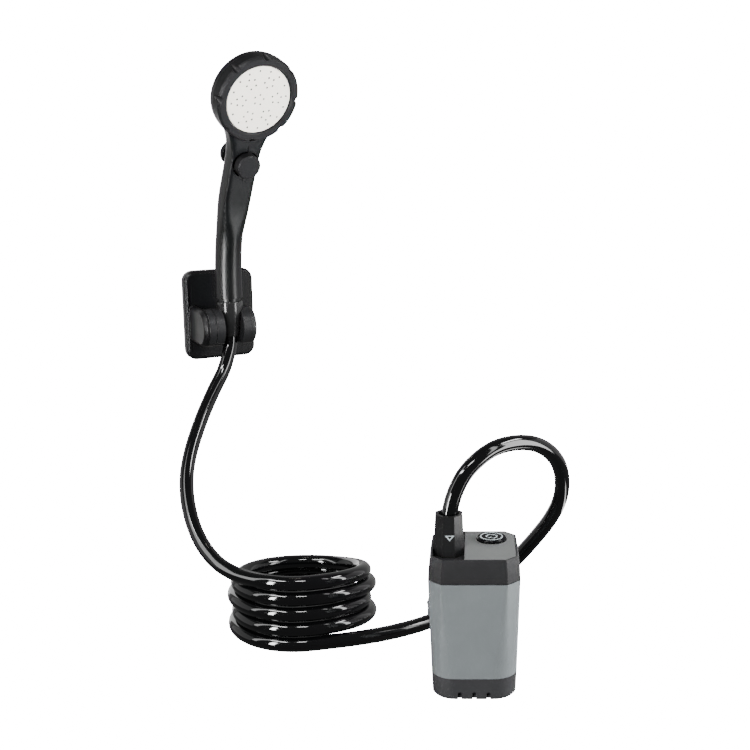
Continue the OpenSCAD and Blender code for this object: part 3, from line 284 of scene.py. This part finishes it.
# hose: from the connector over the pump, into the coil and up to the hand shower, in millimetres
hosePlan = {
    "diameter": 12.6, "start": (-19.5, 0, 114),
    "over": [(-19.5, 0, 129), (-18, 1, 143.5), (-13.5, 4.5, 157), (-6.5, 9.5, 168.5), (3, 16, 177),
             (13.5, 24, 182.5), (25, 32.5, 184.5), (38, 42, 183.5), (50.5, 51.5, 179), (61.5, 61, 170),
             (69.5, 71, 156.5), (73, 80.5, 139), (71.5, 89.5, 120), (64.5, 97.5, 101.5), (54, 104.5, 84),
             (41.5, 110.5, 66.5), (28, 115, 50), (14, 117.5, 35), (0, 117.5, 22.5), (-14, 114, 14),
             (-28, 107, 9), (-42, 97.5, 7), (-56, 88, 6.4), (-70, 79.5, 6.3), (-84, 72.5, 6.3),
             (-98, 67, 6.3), (-111, 62.7, 6.3)],
    "coilMiddle": (-150, 110), "coilRadius": 56, "coilPitch": 13.4, "coilNest": 4,
    "coilStart": -75, "coilSweep": 1485, "coilFlat": 215, "coilStep": 5,
    "up": [(-201.5, 75.5, 60.8), (-215, 85, 64.5), (-227.5, 96.5, 71.5), (-238.5, 109.5, 82),
           (-247, 123.5, 95), (-253, 138.5, 109), (-256, 154, 124), (-255.5, 170, 139.5),
           (-252.5, 186, 155), (-248, 201.5, 170.5), (-242, 216.5, 186.5), (-234.8, 230, 203),
           (-230.3, 237.8, 220.5), (-229.1, 239.8, 232)],
    "end": (-229, 240, 250.5), "sides": 24, "step": 4,
    # the short end that goes with the hand shower
    "stubRadius": 6.1, "stubAbove": 217, "stubLeftOf": -200,
    # in metres, as the frame has them
    "exit": (-0.0195, 0, 0.139), "bendFrom": (-0.240, 0.186, 0.152), "bendTo": (-0.240, 0.2335, 0.2125),
}


def coilPoint(turned):
    # each lap lies flat, then climbs onto the next; at the back the laps lie in and out by turns
    h = hosePlan
    lap = floor(turned / 360)
    climb = min(1, max(0, (turned - 360 * lap - h["coilFlat"]) / (360 - h["coilFlat"])))
    eased = climb * climb * (3 - 2 * climb)
    a = radians(h["coilStart"] - turned)
    back = (1 + sin(a)) / 2
    side = 1 if floor((turned - h["coilStart"] - 90) / 360) % 2 == 0 else -1
    r = h["coilRadius"] + h["coilNest"] * back * side
    rise = sqrt(h["coilPitch"] ** 2 - (2 * h["coilNest"] * back) ** 2)
    x, y = h["coilMiddle"]
    return Vector((x + r * cos(a), y + r * sin(a), h["diameter"] / 2 + rise * (lap + eased)))


def coilWay(turned):
    a = radians(hosePlan["coilStart"] - turned)
    return Vector((sin(a), -cos(a), 0))


def hoseLine():
    h = hosePlan
    d, whole = h["diameter"], h["coilSweep"]
    laps = [coilPoint(t) for t in range(0, whole + 1, h["coilStep"])]
    stops = [Vector(h["start"])] + [Vector(p) for p in h["over"]]
    stops += [laps[0] - d * coilWay(0)] + laps + [laps[-1] + d * coilWay(whole)]
    stops += [Vector(p) for p in h["up"]] + [Vector(h["end"])]
    return [p * mm for p in smoothLine(stops, h["step"])]


hoseWay = hoseLine()
hoseMesh = tubeMesh("hose", hoseWay, hosePlan["diameter"] / 2 * mm, hosePlan["sides"])
paint(hoseMesh, "hoseBlack")
hose = newPiece("hose", hoseMesh, None, "hose_black", "hose_feed", "hose_coil", "hose_rise")
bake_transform(hose)
stubWay = [p for p in hoseWay if p.z > hosePlan["stubAbove"] * mm and p.x < hosePlan["stubLeftOf"] * mm]
stubMesh = tubeMesh("hoseEnd", stubWay, hosePlan["stubRadius"] * mm, hosePlan["sides"])
paint(stubMesh, "hoseBlack")
hoseEnd = newPiece("hoseEnd", stubMesh, "handset", "hose_black")

# the solids that show, copied with rounded edges: finish and rounding in millimetres
shownSolids = {
    "base_cover": ("footDarkPaintedLight", 0.35), "body_sleeve": ("sleeveGrey", 0.4), "port_cover": ("flapRubber", 0.2),
    "top_cap": ("housingDark", 0.5), "top_panel": ("panelGrey", 0.2), "power_button": ("buttonBlack", 0.25),
    "connector_sleeve": ("connectorDark", 0.4), "hose_nut": ("nutBlack", 0.4), "handle": ("handleBlack", 0.3),
    "valve_spool": ("ringBlack", 0.3), "rear_knob": ("ringBlack", 0.3), "head_ring": ("ringBlack", 0.3),
    "wall_plate": ("plateBlack", 0.7), "friction_disc": ("cradleBlack", 0.4), "cradle": ("cradleBlack", 0.5),
    "end_cap": ("cradleBlack", 0.3), "adhesive_pad": ("padRed", 0.2),
}
edgePlan = {"weld": 2e-6, "flat": 0.4, "sharper": 28, "crease": 34, "profile": 0.5, "evenWeight": 100}


def roundedCopy(node, finish, width, segments=3, clamp=True):
    mesh = nodes[node].data.copy()
    bm = bmesh.new()
    bm.from_mesh(mesh)
    bmesh.ops.remove_doubles(bm, verts=bm.verts, dist=edgePlan["weld"])
    bmesh.ops.dissolve_limit(bm, angle_limit=radians(edgePlan["flat"]), verts=bm.verts, edges=bm.edges)
    bm.normal_update()
    sharper = radians(edgePlan["sharper"])
    edges = [e for e in bm.edges if len(e.link_faces) == 2 and e.calc_face_angle() > sharper]
    bmesh.ops.bevel(bm, geom=edges, offset=width * mm, offset_type="OFFSET", segments=segments,
                    profile=edgePlan["profile"], affect="EDGES", clamp_overlap=clamp)
    bm.to_mesh(mesh)
    bm.free()
    if "custom_normal" in mesh.attributes:
        mesh.attributes.remove(mesh.attributes["custom_normal"])
    mesh.polygons.foreach_set("use_smooth", [True] * len(mesh.polygons))
    mesh.set_sharp_from_angle(angle=radians(edgePlan["crease"]))
    paint(mesh, finish)
    paint(nodes[node].data, finish)
    piece = newPiece(node + "Shown", mesh, bodyOf[node], slotOf[node], node)
    even = piece.modifiers.new("evenShading", "WEIGHTED_NORMAL")
    even.weight = edgePlan["evenWeight"]
    even.keep_sharp = True
    return piece


for node, (finish, width) in shownSolids.items():
    roundedCopy(node, finish, width)

# spray face: a plain chamfer; the walls and chamfers of its holes are painted dark as painted shade inside the
# holes, and the rim keeps the steel finish
facePlan = {"finish": "faceSteel", "chamfer": 0.28, "holes": "sealBlack", "holesWithin": 30.5, "flatAbove": 0.9}
headWay = Vector(next(j["axis"] for j in record["behaviour"]["joints"] if j["name"] == "ring_turn"))


# painted shade: the hole walls and chamfers near the middle of the face get the dark seal finish
def paintHoleShade(mesh):
    p = facePlan
    mesh.materials.append(finishes[p["holes"]])
    middle = sum((v.co for v in mesh.vertices), Vector()) / len(mesh.vertices)
    for face in mesh.polygons:
        fromMiddle = face.center - middle
        radius = (fromMiddle - fromMiddle.dot(headWay) * headWay).length
        if abs(face.normal.dot(headWay)) < p["flatAbove"] and radius < p["holesWithin"] * mm:
            face.material_index = 1


sprayFace = roundedCopy("spray_face", facePlan["finish"], facePlan["chamfer"], segments=1, clamp=False)
paintHoleShade(sprayFace.data)
print("edges rounded on", len(shownSolids) + 1, "solids")

# the solids that stay as they are
plainSolids = {
    "sealBlack": ["cap_gasket", "button_seal", "nipple_seal", "shaft_seal", "nut_washer", "face_gasket",
                  "spool_seals"],
    "lightRing": ["button_ring"],
    "fittingGrey": ["outlet_nipple", "outlet_pipe", "pump_chamber", "hose_tail", "flow_plate"],
    "impellerWhite": ["impeller"], "frameIvory": ["inner_frame"], "filterFoam": ["intake_filter"],
    "canMetal": ["motor"], "cellWrap": ["battery_cells"], "boardGreen": ["circuit_board"],
    "switchBlack": ["tact_switch"],
    "steel": ["chamber_screws", "board_screws", "motor_shaft", "charge_socket", "pivot_screw"],
    "hoseBlack": ["hose_feed", "hose_coil", "hose_rise"],
}
for finish, members in plainSolids.items():
    for node in members:
        paint(nodes[node].data, finish)
print("plain solids painted")

# power mark on the button: an open ring and a stroke, a hair above the dish, in millimetres and degrees
markPlan = {"radius": 4.1, "stroke": 1.0, "gap": 34, "turn": 237, "barLow": 0.4, "barHigh": 4.9, "steps": 48,
            "dishDepth": 0.4, "dishRise": 0.3, "dishRadius": 8.3, "lift": 0.1, "thick": 0.06}


def powerMark():
    p = markPlan
    low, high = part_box("power_button")
    middle = Vector(((low[0] + high[0]) / 2, (low[1] + high[1]) / 2, 0))
    points, faces = [], []

    def height(r):
        return high[2] + (p["lift"] - p["dishDepth"] + p["dishRise"] * r / p["dishRadius"]) * mm

    for i in range(p["steps"] + 1):
        a = radians(p["turn"] + p["gap"] + (360 - 2 * p["gap"]) * i / p["steps"])
        for r in (p["radius"] - p["stroke"] / 2, p["radius"] + p["stroke"] / 2):
            points.append(middle + Vector((r * cos(a) * mm, r * sin(a) * mm, height(r))))
        if i:
            faces.append((2 * i - 2, 2 * i - 1, 2 * i + 1, 2 * i))
    first = len(points)
    out = Vector((cos(radians(p["turn"])), sin(radians(p["turn"])), 0))
    across = Vector((-out.y, out.x, 0))
    for r in (p["barLow"], p["barHigh"]):
        for side in (0.5, -0.5):
            place = r * out + side * p["stroke"] * across
            points.append(middle + place * mm + Vector((0, 0, height(r))))
    faces.append((first, first + 1, first + 3, first + 2))
    mesh = meshFrom("powerMark", points, faces)
    paint(mesh, "lightRing")
    thicken(newPiece("powerMark", mesh, "button", "light_ring"), p["thick"] * mm)


powerMark()

# lock mark on the connector's leaning front: a three-cornered ridge, in millimetres; the ridge is the embossed
# mark, and its pale finish is painted highlight along the mark's edges
lockPlan = {"middle": (-18.7, 122.6), "half": 3.7, "up": 2.0, "down": 2.3, "inset": 2.21,
            "front": 12.0, "foot": 107.0, "lean": 0.05, "proud": 0.06, "thick": 0.14}


def lockMark():
    p = lockPlan
    x, z = p["middle"]
    tall = p["up"] + p["down"]
    outer = [(x - p["half"], z + p["up"]), (x + p["half"], z + p["up"]), (x, z - p["down"])]
    heart = (x, z + p["up"] - tall / 3)
    share = 1 - p["inset"] / tall
    inner = [(heart[0] + (a - heart[0]) * share, heart[1] + (b - heart[1]) * share) for a, b in outer]
    points = []
    for a, b in outer + inner:
        forward = p["front"] - p["lean"] * (b - p["foot"]) + p["proud"]
        points.append((a * mm, -forward * mm, b * mm))
    faces = [(i, (i + 1) % 3, (i + 1) % 3 + 3, i + 3) for i in range(3)]
    # the pale ridge is painted highlight on the edges of the embossed triangle
    mesh = meshFrom("lockMark", points, faces, smooth=False)
    paint(mesh, "lightRing")
    thicken(newPiece("lockMark", mesh, "kit", "light_ring"), p["thick"] * mm)


lockMark()
print("button and connector marked")

# white bowl that only the camera sees: its glow keeps floor and background paper white
room = {"floor": 2.6, "curve": 1.6, "top": 4.5, "drop": 0.0002, "around": 72, "arcSteps": 16,
        "glow": 22.0, "world": 0.13}


def sweepMesh():
    profile = [(room["floor"], 0.0)]
    for i in range(1, room["arcSteps"] + 1):
        a = pi / 2 * i / room["arcSteps"]
        profile.append((room["floor"] + room["curve"] * sin(a), room["curve"] * (1 - cos(a))))
    profile.append((room["floor"] + room["curve"], room["top"]))
    count = room["around"]
    turns = [2 * pi * k / count for k in range(count)]
    points = [(r * cos(a), r * sin(a), z - room["drop"]) for r, z in profile for a in turns]
    faces = []
    for i in range(len(profile) - 1):
        here, there = i * count, (i + 1) * count
        for k in range(count):
            n = (k + 1) % count
            faces.append((here + k, here + n, there + n, there + k))
    faces.append(tuple(range(count)))
    return meshFrom("whiteSweep", points, faces)


sweep = bpy.data.objects.new("whiteSweep", sweepMesh())
scene.collection.objects.link(sweep)
paint(sweep.data, "whitePaper")
paperShader = finishes["whitePaper"].node_tree.nodes["Principled BSDF"]
paperShader.inputs["Emission Color"].default_value = (1, 1, 1, 1)
paperShader.inputs["Emission Strength"].default_value = room["glow"]
sweep.visible_diffuse = False
sweep.visible_glossy = False

world = bpy.data.worlds.new("softRoom")
scene.world = world
world.use_nodes = True
background = world.node_tree.nodes["Background"]
background.inputs["Color"].default_value = (1, 1, 1, 1)
background.inputs["Strength"].default_value = room["world"]
print("room set")

# lamps: turn is degrees right of the front, rise is degrees up, both seen from the middle of the set
stand = Vector((-0.12, 0.10, 0.15))
softLamps = {  # light the surfaces, but don't shine in them
    "frontFill": {"turn": -18, "rise": 20, "far": 2.0, "size": (1.2, 1.2), "watts": 46},
    "rightFill": {"turn": 95, "rise": 8, "far": 1.3, "size": (0.8, 0.8), "watts": 38},
    "topFill": {"turn": 20, "rise": 78, "far": 1.9, "size": (2.4, 2.4), "watts": 16},
    "backFill": {"turn": 170, "rise": 22, "far": 2.0, "size": (1.4, 1.4), "watts": 24},
}
shineLamps = {  # only shine in the surfaces
    "leftHigh": {"turn": -45, "rise": 52, "far": 1.7, "size": (0.70, 0.14), "watts": 18},
    "frontHigh": {"turn": 4, "rise": 56, "far": 1.7, "size": (0.36, 0.14), "watts": 9},
    "rightHigh": {"turn": 88, "rise": 43, "far": 1.7, "size": (0.60, 0.16), "watts": 14},
    "leftLow": {"turn": -40, "rise": 7, "far": 0.75, "size": (0.11, 0.46), "watts": 13},
    "rightLow": {"turn": 75, "rise": 7, "far": 0.55, "size": (0.14, 0.44), "watts": 3.0},
    "leftTall": {"turn": -70, "rise": 32, "far": 1.5, "size": (0.24, 1.7), "watts": 9},
    "rightTall": {"turn": 62, "rise": 34, "far": 1.5, "size": (0.12, 1.3), "watts": 4},
    "sideLeft": {"turn": -100, "rise": 8, "far": 1.3, "size": (1.2, 1.0), "watts": 2.4},
    "sideRight": {"turn": 112, "rise": 8, "far": 1.3, "size": (1.2, 1.0), "watts": 2.4},
    "edgeLeft": {"turn": -150, "rise": 8, "far": 1.4, "size": (0.7, 1.2), "watts": 6},
    "backdrop": {"turn": 180, "rise": 12, "far": 1.5, "size": (4.0, 2.6), "watts": 9},
}
floorStrip = {"place": (0.175, 0.17, 0.003), "aim": (0.175, 0.17, 1.0), "size": (0.03, 0.24), "watts": 0.22}


def placeOf(plan):
    turn, rise = radians(plan["turn"]), radians(plan["rise"])
    return stand + plan["far"] * Vector((sin(turn) * cos(rise), -cos(turn) * cos(rise), sin(rise)))


def addLamp(name, plan, place, aim, soft):
    lampData = bpy.data.lights.new(name, "AREA")
    lampData.shape = "RECTANGLE"
    lampData.size, lampData.size_y = plan["size"]
    lampData.energy = plan["watts"]
    lamp = bpy.data.objects.new(name, lampData)
    lamp.location = place
    lamp.rotation_euler = (aim - place).to_track_quat("-Z", "Y").to_euler()
    lamp.visible_glossy = not soft
    lamp.visible_diffuse = soft
    lamp.visible_camera = False
    scene.collection.objects.link(lamp)


for name, plan in softLamps.items():
    addLamp(name, plan, placeOf(plan), stand, True)
for name, plan in shineLamps.items():
    addLamp(name, plan, placeOf(plan), stand, False)
addLamp("floorStrip", floorStrip, Vector(floorStrip["place"]), Vector(floorStrip["aim"]), False)

# a spot on the shower head, straight at its face
spot = {"reach": 1.0, "cone": 7.5, "blend": 0.6, "size": 0.06, "watts": 95}
faceLow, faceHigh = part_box("spray_face")
spotData = bpy.data.lights.new("faceSpot", "SPOT")
spotData.energy = spot["watts"]
spotData.spot_size = radians(2 * spot["cone"])
spotData.spot_blend = spot["blend"]
spotData.shadow_soft_size = spot["size"]
faceSpot = bpy.data.objects.new("faceSpot", spotData)
faceSpot.location = (Vector(faceLow) + Vector(faceHigh)) / 2 + spot["reach"] * headWay
faceSpot.rotation_euler = (-headWay).to_track_quat("-Z", "Y").to_euler()
faceSpot.visible_glossy = False
scene.collection.objects.link(faceSpot)
print("room lit by", len(softLamps) + len(shineLamps) + 2, "lamps")
